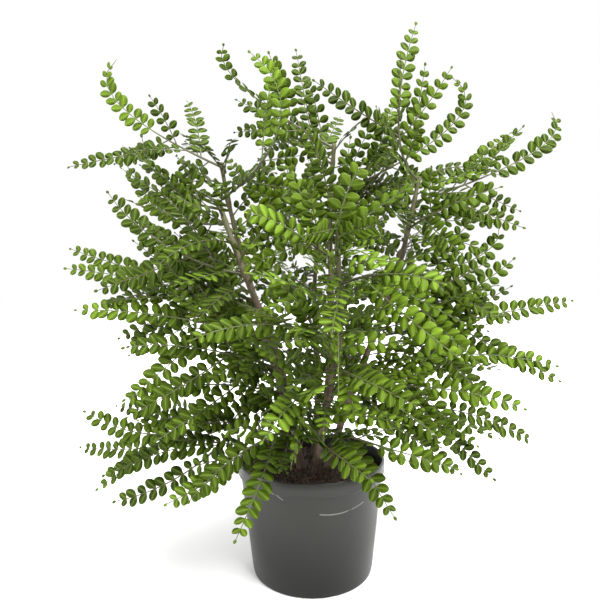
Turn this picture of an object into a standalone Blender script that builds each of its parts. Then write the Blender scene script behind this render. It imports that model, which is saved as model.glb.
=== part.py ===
"""Potted fern: a round nursery pot, its soil, woody stems, and leafy sprays of pinnate fronds.

Metres, +Z up. The origin is the centre of the pot's underside. Every spray is one twig with a
terminal frond and side fronds; a frond is a thin tapering blade that stands for its two rows of
small round leaflets.
"""

import math
import random

import bmesh
import bpy
from mathutils import Matrix, Vector
from mathutils.bvhtree import BVHTree

# ---- driving dimensions ---------------------------------------------------------------------
CM = 0.01
GAP = 0.0003                 # clear space kept between neighbouring pieces
POT_HEIGHT = 0.114
POT_BASE_RADIUS = 0.061
POT_TOP_RADIUS = 0.0722      # of the cone, just under the rim band
POT_RIM_RADIUS = 0.075
POT_RIM_DEPTH = 0.013
POT_WALL = 0.0018
POT_FLOOR = 0.0022
POT_FOOT_STEP = 0.0015       # the floor's underside between the foot and the centre pad
POT_SIDES = 48
DRAIN_RADIUS = 0.0045
DRAIN_RING = 0.046
DRAIN_COUNT = 6
SOIL_TOP = 0.102
SOIL_EDGE = 0.0985
SOIL_FLAT_RADIUS = 0.036     # the level middle that the stems stand on
TWIG_RADIUS = 0.0014
TWIG_TIP_RADIUS = 0.0009
TWIG_SIDES = 6
FROND_LENGTH = 0.105
FROND_HALF_WIDTH = 0.0125
FROND_HALF_THICK = 0.0007
SIDE_SPACING = 0.027         # between side fronds along a twig
SIDE_ANGLE = math.radians(50)
LOWEST_LEAF = 0.098          # fronds hang no lower than just under the rim
TRIES = 30                   # ways that a frond may turn aside from its neighbours

# Stations along a frond: share of its length, share of its half width.
FROND_OUTLINE = ((0.0, 0.09), (0.10, 0.16), (0.24, 0.84), (0.55, 1.0), (0.84, 0.74), (1.0, 0.10))

# Woody stems: points in centimetres from the soil to the top, then radius at foot and top in mm.
STEMS = {
    "left": (((-1.0, -0.6, 0), (-1.9, -1.4, 16), (-3.4, -3.0, 23), (-6.3, -4.4, 31), (-8.4, -4.0, 37)), 3.9, 2.2),
    "centre": (((0.5, 0.5, 0), (1.7, 1.2, 16), (2.4, 2.0, 26), (2.4, 3.0, 36), (3.0, 3.2, 44)), 4.0, 2.0),
    "right": (((1.7, -0.5, 0), (3.9, -0.2, 17), (7.2, 0.4, 25), (10.0, 1.0, 33), (11.6, 1.2, 40)), 3.8, 2.0),
    "rear_left": (((-1.2, 1.5, 0), (-3.2, 3.4, 18), (-6.0, 4.4, 28), (-8.2, 3.2, 37), (-9.0, 2.2, 42)), 3.6, 2.0),
    "rear": (((0.4, 2.6, 0), (1.0, 6.0, 18), (0.8, 9.0, 28), (1.8, 10.6, 38)), 3.6, 2.0),
    "front": (((0.4, -1.9, 0), (1.3, -4.6, 17), (2.6, -7.4, 25), (2.4, -8.2, 32)), 3.4, 1.9),
    "low": (((-2.6, -0.2, 0), (-5.6, -1.4, 14.5), (-9.6, -2.2, 16.4)), 2.6, 1.7),
}

# Sprays: stem, share of the stem's length, tip in centimetres, arch (share of length), facing.
# facing: "front" shows its face to -Y, "up" lies level, "out" leans with its face outward.
SPRAYS = {
    "top_left": ("rear_left", 0.99, (-15.6, 2.0, 55.0), 0.40, "front"),
    "top_left_upright": ("rear_left", 0.90, (-9.1, 0.0, 52.0), 0.02, "front"),
    "left_level": ("left", 0.98, (-14.6, -3.0, 44.8), 0.10, "up"),
    "left_high": ("left", 0.75, (-17.4, -4.4, 38.8), 0.06, "front"),
    "left_high_rear": ("rear_left", 0.76, (-18.7, 4.6, 44.0), 0.03, "out"),
    "left_shoot": ("left", 0.93, (-16.6, -1.0, 38.0), -0.12, "front"),
    "left_far": ("left", 0.62, (-23.8, -2.4, 31.6), 0.10, "front"),
    "left_far_rear": ("rear_left", 0.55, (-24.4, 2.6, 34.4), 0.12, "front"),
    "left_mid": ("left", 0.52, (-20.8, -6.4, 27.6), 0.12, "front"),
    "left_low": ("left", 0.40, (-16.0, -8.4, 24.0), 0.12, "front"),
    "left_lower": ("left", 0.30, (-16.2, -8.0, 19.4), 0.14, "front"),
    "reach_left": ("low", 0.99, (-23.0, -0.2, 16.3), -0.22, "front"),
    "reach_left_rear": ("low", 0.79, (-26.4, 4.6, 11.4), -0.06, "front"),
    "reach_left_front": ("low", 0.76, (-18.6, -6.0, 11.0), 0.09, "front"),
    "skirt_left": ("low", 0.42, (-12.4, -11.6, 13.2), 0.22, "front"),
    "skirt_front_left": ("front", 0.24, (-10.2, -11.0, 11.6), 0.21, "front"),
    "top_arch": ("centre", 0.99, (-5.0, -1.0, 54.9), 0.42, "up"),
    "top_centre": ("centre", 0.94, (-0.9, 8.0, 55.7), -0.24, "front"),
    "top_right_lean": ("centre", 0.84, (9.9, 1.2, 52.9), 0.42, "front"),
    "top_right": ("right", 0.99, (12.5, 0.2, 54.4), -0.22, "front"),
    "top_right_rear": ("centre", 0.76, (8.4, 6.6, 51.4), 0.04, "out"),
    "right_high": ("right", 0.92, (21.6, 2.0, 49.4), 0.40, "front"),
    "right_high_low": ("right", 0.83, (16.9, -5.2, 39.3), 0.40, "front"),
    "right_rear_high": ("right", 0.74, (18.4, 6.8, 41.5), 0.40, "out"),
    "right_upper": ("right", 0.66, (17.1, -0.4, 36.8), 0.34, "front"),
    "right_upper_front": ("right", 0.58, (16.4, -2.6, 33.0), 0.30, "front"),
    "right_mid": ("right", 0.54, (19.8, -2.4, 31.2), -0.16, "front"),
    "right_far": ("right", 0.46, (26.8, 0.4, 27.4), 0.06, "front"),
    "right_low": ("right", 0.36, (23.4, -3.6, 21.0), 0.12, "front"),
    "right_lower": ("right", 0.28, (18.4, -8.2, 18.6), 0.16, "front"),
    "right_skirt": ("right", 0.20, (22.3, -1.2, 12.9), 0.18, "front"),
    "skirt_right": ("front", 0.25, (11.8, -10.2, 13.7), 0.00, "front"),
    "skirt_front": ("front", 0.20, (4.8, -15.8, 15.8), 0.21, "front"),
    "front_low_left": ("front", 0.46, (-3.6, -17.4, 19.0), 0.20, "front"),
    "front_low_right": ("front", 0.54, (8.0, -17.6, 21.4), 0.20, "front"),
    "front_mid_left": ("front", 0.66, (-8.8, -15.2, 25.4), 0.16, "front"),
    "front_mid": ("front", 0.78, (1.2, -18.4, 26.0), 0.16, "front"),
    "front_mid_right": ("front", 0.88, (9.6, -14.8, 29.2), 0.14, "front"),
    "front_high_left": ("front", 0.96, (-4.6, -14.6, 34.6), 0.12, "front"),
    "front_high": ("front", 0.99, (4.6, -13.4, 38.6), 0.08, "front"),
    "upper_front": ("centre", 0.66, (-1.6, -9.6, 42.6), 0.12, "front"),
    "upper_front_left": ("rear_left", 0.62, (-12.6, -7.6, 35.2), 0.14, "front"),
    "rear_top": ("rear", 0.99, (1.6, 14.4, 50.0), 0.06, "out"),
    "rear_top_left": ("rear", 0.88, (-8.6, 14.0, 46.0), 0.12, "out"),
    "rear_top_right": ("rear", 0.80, (12.4, 13.6, 44.6), 0.12, "out"),
    "rear_mid_left": ("rear_left", 0.46, (-16.6, 13.4, 33.0), 0.12, "out"),
    "rear_mid": ("rear", 0.66, (-3.2, 22.0, 35.4), 0.12, "out"),
    "rear_mid_right": ("rear", 0.56, (14.4, 16.6, 32.6), 0.12, "out"),
    "rear_low_left": ("rear_left", 0.34, (-12.6, 17.4, 22.6), 0.16, "out"),
    "rear_low": ("rear", 0.42, (2.6, 21.4, 22.6), 0.16, "out"),
    "rear_low_right": ("rear", 0.32, (15.6, 15.4, 20.4), 0.16, "out"),
}

UP = Vector((0, 0, 1))
FRONT = Vector((0, -1, 0))


# ---- growth: the lines that stems, twigs and fronds follow ----------------------------------
def smooth_line(points, steps):
    """A Catmull-Rom curve through the points, with steps spans between each two."""
    ends = [points[0] * 2 - points[1], *points, points[-1] * 2 - points[-2]]
    line = []
    for a, b, c, d in zip(ends, ends[1:], ends[2:], ends[3:]):
        for i in range(steps):
            u = i / steps
            line.append(0.5 * (2 * b + (c - a) * u + (2 * a - 5 * b + 4 * c - d) * u * u
                               + (3 * b - a - 3 * c + d) * u ** 3))
    return [*line, points[-1].copy()]


def bezier(a, b, c, d, u):
    v = 1 - u
    return a * v ** 3 + 3 * b * v * v * u + 3 * c * v * u * u + d * u ** 3


def stem_line(name):
    points = [Vector(p) * CM for p in STEMS[name][0]]
    points[0].z = SOIL_TOP + GAP
    return smooth_line(points, 3)


def along(line, share):
    """Point and direction at this share of a line's length."""
    lengths = [(b - a).length for a, b in zip(line, line[1:])]
    left = share * sum(lengths)
    for (a, b), length in zip(zip(line, line[1:]), lengths):
        if left <= length:
            return a.lerp(b, left / length), (b - a).normalized()
        left -= length
    return line[-1].copy(), (line[-1] - line[-2]).normalized()


def face_of(facing, point):
    """The way a frond's upper face looks, by the spray's facing."""
    out = Vector((point.x, point.y, 0)).normalized()
    if facing == "front":
        return UP * 0.45 + out * 0.30 + FRONT * 0.95
    if facing == "out":
        return UP * 0.70 + out * 0.80
    return UP * 1.0 + out * 0.15


def spray_path(name, attempt):
    """Twig and terminal frond of a spray: 25 points from the stem to the tip."""
    stem, share, tip, arch, _ = SPRAYS[name]
    line = stem_line(stem)
    foot, heading = along(line, share)
    _, foot_mm, top_mm = STEMS[stem]
    radius = (foot_mm + (top_mm - foot_mm) * share) * 0.001
    tip = Vector(tip) * CM
    chord = tip - foot
    side = chord.cross(UP).normalized()
    turn = math.radians(137.5) * attempt
    stray = (side * math.cos(turn) + side.cross(chord.normalized()) * math.sin(turn)) * 0.0022 * attempt
    bulge = UP * arch * chord.length + stray * 2
    knee = foot + chord * 0.34 + bulge
    away = (knee - foot) - heading * (knee - foot).dot(heading)
    away.normalize()
    start = foot + away * (radius + 0.0006)
    knee = start + away * 0.010 + (knee - start) * 0.72
    tip += stray
    neck = start + (tip - start) * 0.70 + bulge * 0.80
    return [bezier(start, knee, neck, tip, i / 24) for i in range(25)]


def sprig(name):
    """Lengths of a spray: (whole path, twig part, terminal frond)."""
    path = spray_path(name, 0)
    whole = sum((b - a).length for a, b in zip(path, path[1:]))
    frond = min(FROND_LENGTH, whole * 0.62)
    return whole, whole - frond, frond


def side_path(path, reach, face, which, attempt, rng_values):
    """A side frond's line: 9 points from the twig outward, and its upper face."""
    swing, droop, size, roll = rng_values
    whole = sum((b - a).length for a, b in zip(path, path[1:]))
    root, ahead = along(path, reach / whole)
    face = (face - ahead * face.dot(ahead)).normalized()
    step = (attempt + 1) // 2 * (1 if attempt % 2 else -1)
    spin = Matrix.Rotation(math.radians(11) * step + roll, 3, ahead)
    across = spin @ (face.cross(ahead) * which)
    face = spin @ face
    angle = SIDE_ANGLE + swing - math.radians(1.2) * abs(step)
    out = ahead * math.cos(angle) + across * math.sin(angle)
    length = FROND_LENGTH * size * (1.0 - 0.018 * attempt)
    bend = ahead * 0.16 - UP * droop
    line = [root + (out * u + bend * u * u) * length for u in (i / 8 for i in range(9))]
    return line, face


def blade_frames(line, face, count):
    """Evenly spaced points on a line, each with its direction and the blade's upper face there."""
    frames = []
    for i in range(count):
        point, ahead = along(line, i / (count - 1))
        frames.append((point, ahead, (face - ahead * face.dot(ahead)).normalized()))
    return frames


# ---- modelling helpers ----------------------------------------------------------------------
def material(name, colour, roughness):
    mat = bpy.data.materials.new(name)
    mat.use_nodes = True
    shader = mat.node_tree.nodes["Principled BSDF"]
    shader.inputs["Base Color"].default_value = (*colour, 1)
    shader.inputs["Roughness"].default_value = roughness
    shader.inputs["Metallic"].default_value = 0
    return mat


def add_object(name, mesh, mat, collection):
    obj = bpy.data.objects.new(name, mesh)
    collection.objects.link(obj)
    if mat:
        mesh.materials.clear()
        mesh.materials.append(mat)
    return obj


def face_outward(bm):
    """Turns the faces outward, in flat triangles, so that a union joins them soundly."""
    bmesh.ops.triangulate(bm, faces=bm.faces)
    bmesh.ops.recalc_face_normals(bm, faces=bm.faces)
    if bm.calc_volume(signed=True) < 0:
        bmesh.ops.reverse_faces(bm, faces=bm.faces)


def tube_mesh(line, radii, resolution):
    """A round tube through the line's points, closed at both ends, as a mesh."""
    curve = bpy.data.curves.new("tube", "CURVE")
    curve.dimensions = "3D"
    curve.bevel_depth = 1.0
    curve.bevel_resolution = resolution
    curve.use_fill_caps = True
    spline = curve.splines.new("POLY")
    spline.points.add(len(line) - 1)
    for point, place, radius in zip(spline.points, line, radii):
        point.co = (*place, 1)
        point.radius = radius
    obj = bpy.data.objects.new("tube", curve)
    bpy.context.scene.collection.objects.link(obj)
    graph = bpy.context.evaluated_depsgraph_get()
    mesh = bpy.data.meshes.new_from_object(obj.evaluated_get(graph))
    bpy.data.objects.remove(obj)
    bm = bmesh.new()
    bm.from_mesh(mesh)
    bmesh.ops.remove_doubles(bm, verts=bm.verts, dist=0.000001)
    face_outward(bm)
    bm.to_mesh(mesh)
    bm.free()
    mesh.shade_smooth()
    return mesh


def loft(rings):
    """A closed mesh through rings of equal point count."""
    bm = bmesh.new()
    rows = [[bm.verts.new(p) for p in ring] for ring in rings]
    for low, high in zip(rows, rows[1:]):
        for i in range(len(low)):
            j = (i + 1) % len(low)
            bm.faces.new((low[i], low[j], high[j], high[i]))
    bm.faces.new(rows[0][::-1])
    bm.faces.new(rows[-1])
    face_outward(bm)
    return bm


def blade(line, face, grow=0.0):
    """A frond's closed blade: a flattened diamond section along its line."""
    rings = []
    for share, width in FROND_OUTLINE:
        point, ahead = along(line, share)
        up = (face - ahead * face.dot(ahead)).normalized()
        across = up.cross(ahead)
        half = FROND_HALF_WIDTH * width + grow
        thick = FROND_HALF_THICK + grow * 0.8
        if share in (0.0, 1.0):
            point = point + ahead * (grow if share else -0.0002)
        rings.append([point + across * half, point + up * thick, point - across * half, point - up * thick])
    return loft(rings)


def tree_of(bm):
    bmesh.ops.triangulate(bm, faces=bm.faces)
    tree = BVHTree.FromBMesh(bm)
    xs = [v.co.copy() for v in bm.verts]
    low = Vector([min(p[i] for p in xs) for i in range(3)])
    high = Vector([max(p[i] for p in xs) for i in range(3)])
    bm.free()
    return tree, low, high


def tree_of_mesh(mesh):
    bm = bmesh.new()
    bm.from_mesh(mesh)
    return tree_of(bm)


def meets(one, other):
    tree, low, high = one
    their, below, above = other
    if any(low[i] > above[i] or below[i] > high[i] for i in range(3)):
        return False
    return bool(tree.overlap(their))


# ---- pot and soil ---------------------------------------------------------------------------
def turned(name, profile, mat, collection):
    """A solid turned about the Z axis from a closed run of (radius, height) points."""
    bm = bmesh.new()
    verts = [bm.verts.new((r, 0, z)) for r, z in profile]
    for a, b in zip(verts, verts[1:]):
        bm.edges.new((a, b))
    if profile[0][0] > 0:
        bm.edges.new((verts[-1], verts[0]))
    mesh = bpy.data.meshes.new(name)
    bm.to_mesh(mesh)
    bm.free()
    obj = add_object(name, mesh, mat, collection)
    screw = obj.modifiers.new("turn", "SCREW")
    screw.steps = screw.render_steps = POT_SIDES
    screw.use_merge_vertices = True
    screw.merge_threshold = 0.00001
    screw.use_smooth_shade = True
    return obj


def build_pot(mat, collection, cutters):
    wall, top, rim = POT_WALL, POT_TOP_RADIUS, POT_RIM_RADIUS
    under = POT_HEIGHT - POT_RIM_DEPTH
    foot = POT_BASE_RADIUS
    profile = [
        (rim - 0.0022, POT_HEIGHT),
        (rim - 0.0006, POT_HEIGHT - 0.0004),
        (rim, POT_HEIGHT - 0.0018),
        (rim - 0.0004, under + 0.0006),
        (rim - 0.0012, under),
        (top, under - 0.0004),
        (foot + 0.0009, 0.006),
        (foot, 0.0016),
        (foot - 0.0012, 0.0),
        (foot - 0.0075, 0.0),
        (foot - 0.0085, POT_FOOT_STEP),
        (0.0165, POT_FOOT_STEP),
        (0.0155, 0.0),
        (0.0, 0.0),
        (0.0, POT_FOOT_STEP + POT_FLOOR),
        (foot - 0.0035, POT_FOOT_STEP + POT_FLOOR),
        (foot - 0.0010, POT_FOOT_STEP + POT_FLOOR + 0.003),
        (top - wall, under - 0.002),
        (rim - 0.0022 - wall * 0.7, under + 0.002),
        (rim - 0.0022 - wall * 0.4, POT_HEIGHT - 0.0006),
    ]
    # The run stays open where it meets the turning axis.
    start = profile.index((0.0, POT_FOOT_STEP + POT_FLOOR))
    pot = turned("pot", profile[start:] + profile[:start], mat, collection)
    for i in range(DRAIN_COUNT):
        turn = 2 * math.pi * (i + 0.5) / DRAIN_COUNT
        bm = bmesh.new()
        bmesh.ops.create_cone(bm, cap_ends=True, segments=12, radius1=DRAIN_RADIUS,
                              radius2=DRAIN_RADIUS, depth=0.02)
        mesh = bpy.data.meshes.new("drain_hole")
        bm.to_mesh(mesh)
        bm.free()
        hole = add_object(f"drain_hole_{i + 1}", mesh, None, cutters)
        hole.location = (DRAIN_RING * math.cos(turn), DRAIN_RING * math.sin(turn), 0.002)
        hole.hide_render = True
        hole.display_type = "WIRE"
        cut = pot.modifiers.new("drain", "BOOLEAN")
        cut.operation = "DIFFERENCE"
        cut.object = hole
    for i in range(4):
        turn = math.radians(-72 + 90 * i)
        bm = bmesh.new()
        bmesh.ops.create_cube(bm, size=1.0)
        bmesh.ops.scale(bm, vec=(0.014, 0.007, 0.0022), verts=bm.verts)
        mesh = bpy.data.meshes.new("foot_notch")
        bm.to_mesh(mesh)
        bm.free()
        notch = add_object(f"foot_notch_{i + 1}", mesh, None, cutters)
        notch.location = ((foot - 0.003) * math.cos(turn), (foot - 0.003) * math.sin(turn), 0.0)
        notch.rotation_euler = (0, 0, turn)
        notch.hide_render = True
        notch.display_type = "WIRE"
        cut = pot.modifiers.new("notch", "BOOLEAN")
        cut.operation = "DIFFERENCE"
        cut.object = notch
    return pot


def inner_radius(z):
    """Radius of the pot's inner wall at this height."""
    low_z, high_z = POT_FOOT_STEP + POT_FLOOR + 0.003, POT_HEIGHT - POT_RIM_DEPTH - 0.002
    low, high = POT_BASE_RADIUS - 0.0010, POT_TOP_RADIUS - POT_WALL
    return low + (high - low) * (z - low_z) / (high_z - low_z)


def build_soil(mat, collection):
    gap = 2 * GAP
    floor = POT_FOOT_STEP + POT_FLOOR + gap
    profile = [
        (0.0, floor),
        (POT_BASE_RADIUS - 0.0040, floor),
        (inner_radius(floor + 0.005) - gap, floor + 0.005),
        (inner_radius(SOIL_EDGE) - gap, SOIL_EDGE),
        (inner_radius(SOIL_EDGE) - 0.006, SOIL_EDGE + 0.0018),
        (0.052, SOIL_TOP - 0.0006),
        (SOIL_FLAT_RADIUS, SOIL_TOP),
        (0.0, SOIL_TOP),
    ]
    return turned("soil", profile[::-1], mat, collection)


# ---- the plant ------------------------------------------------------------------------------
def build_stems(mat, collection):
    trees = {}
    for name, (_, foot_mm, top_mm) in STEMS.items():
        line = stem_line(name)
        line[0] = line[1].lerp(line[0], 1.0)
        radii = [(foot_mm + (top_mm - foot_mm) * i / (len(line) - 1)) * 0.001 for i in range(len(line))]
        mesh = tube_mesh(line, radii, 2)
        # The foot is cut level, so that it stands on the soil.
        for vertex in mesh.vertices:
            vertex.co.z = max(vertex.co.z, SOIL_TOP + GAP)
        add_object(f"stem_{name}", mesh, mat, collection)
        trees[name] = tree_of_mesh(mesh)
    return trees


def place_twigs(stem_trees, others):
    """Every spray's twig and terminal frond, each turned aside until it is clear."""
    placed = {}
    for name, (stem, *_rest) in SPRAYS.items():
        facing = SPRAYS[name][4]
        whole, twig_part, _ = sprig(name)
        for attempt in range(TRIES):
            path = spray_path(name, attempt)
            cut = twig_part / whole
            frond_line = [along(path, cut + (1 - cut) * i / 8)[0] for i in range(9)]
            twig_line = [along(path, (cut + 0.02) * i / 6)[0] for i in range(7)]
            face = face_of(facing, path[-1])
            radii = [TWIG_RADIUS + (TWIG_TIP_RADIUS - TWIG_RADIUS) * i / 6 for i in range(7)]
            fat = tube_mesh(twig_line, [r + 0.0006 for r in radii], 1)
            fat_twig = tree_of_mesh(fat)
            thin_twig = tree_of_mesh(tube_mesh(twig_line, radii, 1))
            fat_blade = tree_of(blade(frond_line, face, 0.0006))
            clear = not any(meets(fat_blade, t) for t in stem_trees.values())
            clear = clear and not any(
                meets(thin_twig if other == stem else fat_twig, t) for other, t in stem_trees.items())
            for t in [*others, *(t for p in placed.values() for t in p["trees"])]:
                if not clear:
                    break
                clear = not (meets(fat_blade, t) or meets(fat_twig, t))
            if clear:
                break
        else:
            print("no clear way for", name)
            attempt = -1
        placed[name] = {
            "path": path, "face": face, "attempt": attempt, "radii": radii, "twig": twig_line,
            "fronds": [(frond_line, face)],
            "trees": [thin_twig, tree_of(blade(frond_line, face))],
        }
    return placed


def side_values(rng):
    """The chance part of one side frond: swing, droop, size and roll."""
    return (math.radians(rng.uniform(-8, 8)), rng.uniform(0.04, 0.20), rng.uniform(0.70, 0.96),
            math.radians(rng.uniform(-18, 18)))


def side_places(name):
    """Where side fronds leave a twig: distances from its foot, and the side each is on."""
    _, twig_part, _ = sprig(name)
    first = 0.022
    count = max(1, int((twig_part - first) / SIDE_SPACING) + 1)
    return [(first + i * SIDE_SPACING, 1 if i % 2 else -1) for i in range(count)
            if first + i * SIDE_SPACING < twig_part + 0.004]


def place_sides(placed, stem_trees, others):
    rng = random.Random(20)
    left_out = 0
    for name, spray in placed.items():
        for reach, which in side_places(name):
            values = side_values(rng)
            for attempt in range(TRIES):
                line, face = side_path(spray["path"], reach, spray["face"], which, attempt, values)
                fat = tree_of(blade(line, face, 0.0006))
                near = [*others, *stem_trees.values()]
                near += [t for other, p in placed.items() if other != name for t in p["trees"]]
                own = [t for t in spray["trees"][1:]]
                if fat[1].z < LOWEST_LEAF or any(meets(fat, t) for t in near):
                    continue
                if attempt < TRIES // 2 and any(meets(fat, t) for t in own):
                    continue
                spray["fronds"].append((line, face))
                spray["trees"].append(tree_of(blade(line, face)))
                break
            else:
                left_out += 1
    print("side fronds left out for want of room:", left_out)


def keep_largest(bm):
    """Leaves only the biggest connected shell, so that no pocket stays shut inside a joint."""
    left = set(bm.verts)
    shells = []
    while left:
        shell = {left.pop()}
        front = list(shell)
        while front:
            near = {e.other_vert(v) for v in front for e in v.link_edges} - shell
            shell |= near
            front = list(near)
        left -= shell
        shells.append(shell)
    shells.sort(key=len)
    bmesh.ops.delete(bm, geom=[v for shell in shells[:-1] for v in shell], context="VERTS")
    return len(shells)


def build_sprays(placed, leaf, collection, helpers):
    for name, spray in placed.items():
        twig = add_object(f"twig_{name}", tube_mesh(spray["twig"], spray["radii"], 1), leaf, helpers)
        for i, (line, face) in enumerate(spray["fronds"]):
            bm = blade(line, face)
            mesh = bpy.data.meshes.new(f"frond_{name}_{i + 1}")
            bm.to_mesh(mesh)
            bm.free()
            frond = add_object(mesh.name, mesh, None, helpers)
            frond.hide_render = True
            frond.display_type = "WIRE"
            join = twig.modifiers.new("join", "BOOLEAN")
            join.operation = "UNION"
            join.solver = "MANIFOLD"
            join.object = frond
        mesh = united(twig, len(spray["fronds"]))
        add_object(f"spray_{name}", mesh, leaf, collection)


def united(twig, fronds):
    """The twig and its fronds as one closed mesh, by whichever solver joins them soundly."""
    least = 0.9 * blade_volume() * fronds
    for solver in ("MANIFOLD", "EXACT"):
        for join in twig.modifiers:
            join.solver = solver
        bpy.context.view_layer.update()
        graph = bpy.context.evaluated_depsgraph_get()
        mesh = bpy.data.meshes.new_from_object(twig.evaluated_get(graph))
        bm = bmesh.new()
        bm.from_mesh(mesh)
        if not all(e.is_manifold for e in bm.edges):
            bmesh.ops.remove_doubles(bm, verts=bm.verts, dist=0.000002)
        bmesh.ops.triangulate(bm, faces=bm.faces)
        shells = keep_largest(bm)
        volume = bm.calc_volume(signed=True)
        sound = all(e.is_manifold for e in bm.edges) and volume > least
        bm.to_mesh(mesh)
        bm.free()
        if sound and shells == 1:
            break
    twig.modifiers.clear()
    twig.hide_render = True
    twig.display_type = "WIRE"
    return mesh


def blade_volume():
    bm = blade([Vector((0, 0, 0)), Vector((FROND_LENGTH * 0.6, 0, 0))], UP)
    volume = bm.calc_volume(signed=True)
    bm.free()
    return volume


def main():
    for obj in list(bpy.data.objects):
        bpy.data.objects.remove(obj)
    collection = bpy.data.collections.new("potted_fern")
    helpers = bpy.data.collections.new("potted_fern_helpers")
    bpy.context.scene.collection.children.link(collection)
    bpy.context.scene.collection.children.link(helpers)
    plastic = material("pot_plastic", (0.085, 0.087, 0.078), 0.42)
    coir = material("soil_coir", (0.022, 0.012, 0.006), 0.95)
    bark = material("stem_bark", (0.13, 0.085, 0.055), 0.8)
    leaf = material("leaf_green", (0.10, 0.20, 0.025), 0.45)
    pot = build_pot(plastic, collection, helpers)
    soil = build_soil(coir, collection)
    bpy.context.view_layer.update()
    graph = bpy.context.evaluated_depsgraph_get()
    others = [tree_of_mesh(bpy.data.meshes.new_from_object(o.evaluated_get(graph))) for o in (pot, soil)]
    stem_trees = build_stems(bark, collection)
    placed = place_twigs(stem_trees, others)
    place_sides(placed, stem_trees, others)
    build_sprays(placed, leaf, collection, helpers)
    print("fronds:", sum(len(p["fronds"]) for p in placed.values()), "sprays:", len(placed))


main()
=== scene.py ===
"""Looks of the potted fern: leaflets, twigs, bark, coir soil and a satin pot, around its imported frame."""

from __future__ import annotations

import logging
import math
import random
from dataclasses import dataclass, field
from enum import Enum
from typing import Any, Iterable, Sequence

import bmesh
import bpy
from mathutils import Matrix, Vector
from mathutils.kdtree import KDTree


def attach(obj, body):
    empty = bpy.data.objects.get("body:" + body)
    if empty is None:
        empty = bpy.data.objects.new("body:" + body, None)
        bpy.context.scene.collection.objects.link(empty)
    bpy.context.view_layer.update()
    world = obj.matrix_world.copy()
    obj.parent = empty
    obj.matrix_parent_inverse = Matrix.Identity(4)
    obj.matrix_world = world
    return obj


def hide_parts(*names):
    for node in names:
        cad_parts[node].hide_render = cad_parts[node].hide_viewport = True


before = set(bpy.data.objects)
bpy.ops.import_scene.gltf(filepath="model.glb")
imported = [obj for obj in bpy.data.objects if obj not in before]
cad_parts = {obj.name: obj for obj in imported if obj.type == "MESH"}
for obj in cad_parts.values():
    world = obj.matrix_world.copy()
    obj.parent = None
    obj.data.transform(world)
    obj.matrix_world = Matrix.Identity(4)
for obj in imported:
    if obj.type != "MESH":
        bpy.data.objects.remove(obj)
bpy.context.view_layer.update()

logging.basicConfig(level=logging.INFO, format="%(name)s: %(message)s")
LOG = logging.getLogger("potted_fern")

CM = 0.01
MM = 0.001
UP = Vector((0, 0, 1))
FRONT = Vector((0, -1, 0))
Colour = tuple[float, float, float]
# A line's points, upper face, leaflet size, girth at foot and tip, and tint.
Rachis = tuple[list[Vector], Vector, float, float, float, float]


# ---- node trees written as expressions ------------------------------------------------------
class Wire:
    """One output socket of a node tree, which adds Math nodes when it is used in arithmetic."""

    def __init__(self, graph: Graph, socket: bpy.types.NodeSocket) -> None:
        """Keeps the socket and the tree that it belongs to."""
        self.graph = graph
        self.socket = socket

    def __add__(self, other: Wire | float) -> Wire:
        """Sum."""
        return self.graph.math("ADD", self, other)

    def __radd__(self, other: float) -> Wire:
        """Sum, reflected."""
        return self.graph.math("ADD", other, self)

    def __sub__(self, other: Wire | float) -> Wire:
        """Difference."""
        return self.graph.math("SUBTRACT", self, other)

    def __rsub__(self, other: float) -> Wire:
        """Difference, reflected."""
        return self.graph.math("SUBTRACT", other, self)

    def __mul__(self, other: Wire | float) -> Wire:
        """Product."""
        return self.graph.math("MULTIPLY", self, other)

    def __rmul__(self, other: float) -> Wire:
        """Product, reflected."""
        return self.graph.math("MULTIPLY", other, self)

    def __truediv__(self, other: Wire | float) -> Wire:
        """Quotient."""
        return self.graph.math("DIVIDE", self, other)

    def __pow__(self, other: Wire | float) -> Wire:
        """Power."""
        return self.graph.math("POWER", self, other)

    def __gt__(self, other: Wire | float) -> Wire:
        """1 where this is greater than the other, and 0 elsewhere."""
        return self.graph.math("GREATER_THAN", self, other)

    def __lt__(self, other: Wire | float) -> Wire:
        """1 where this is less than the other, and 0 elsewhere."""
        return self.graph.math("LESS_THAN", self, other)


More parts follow.
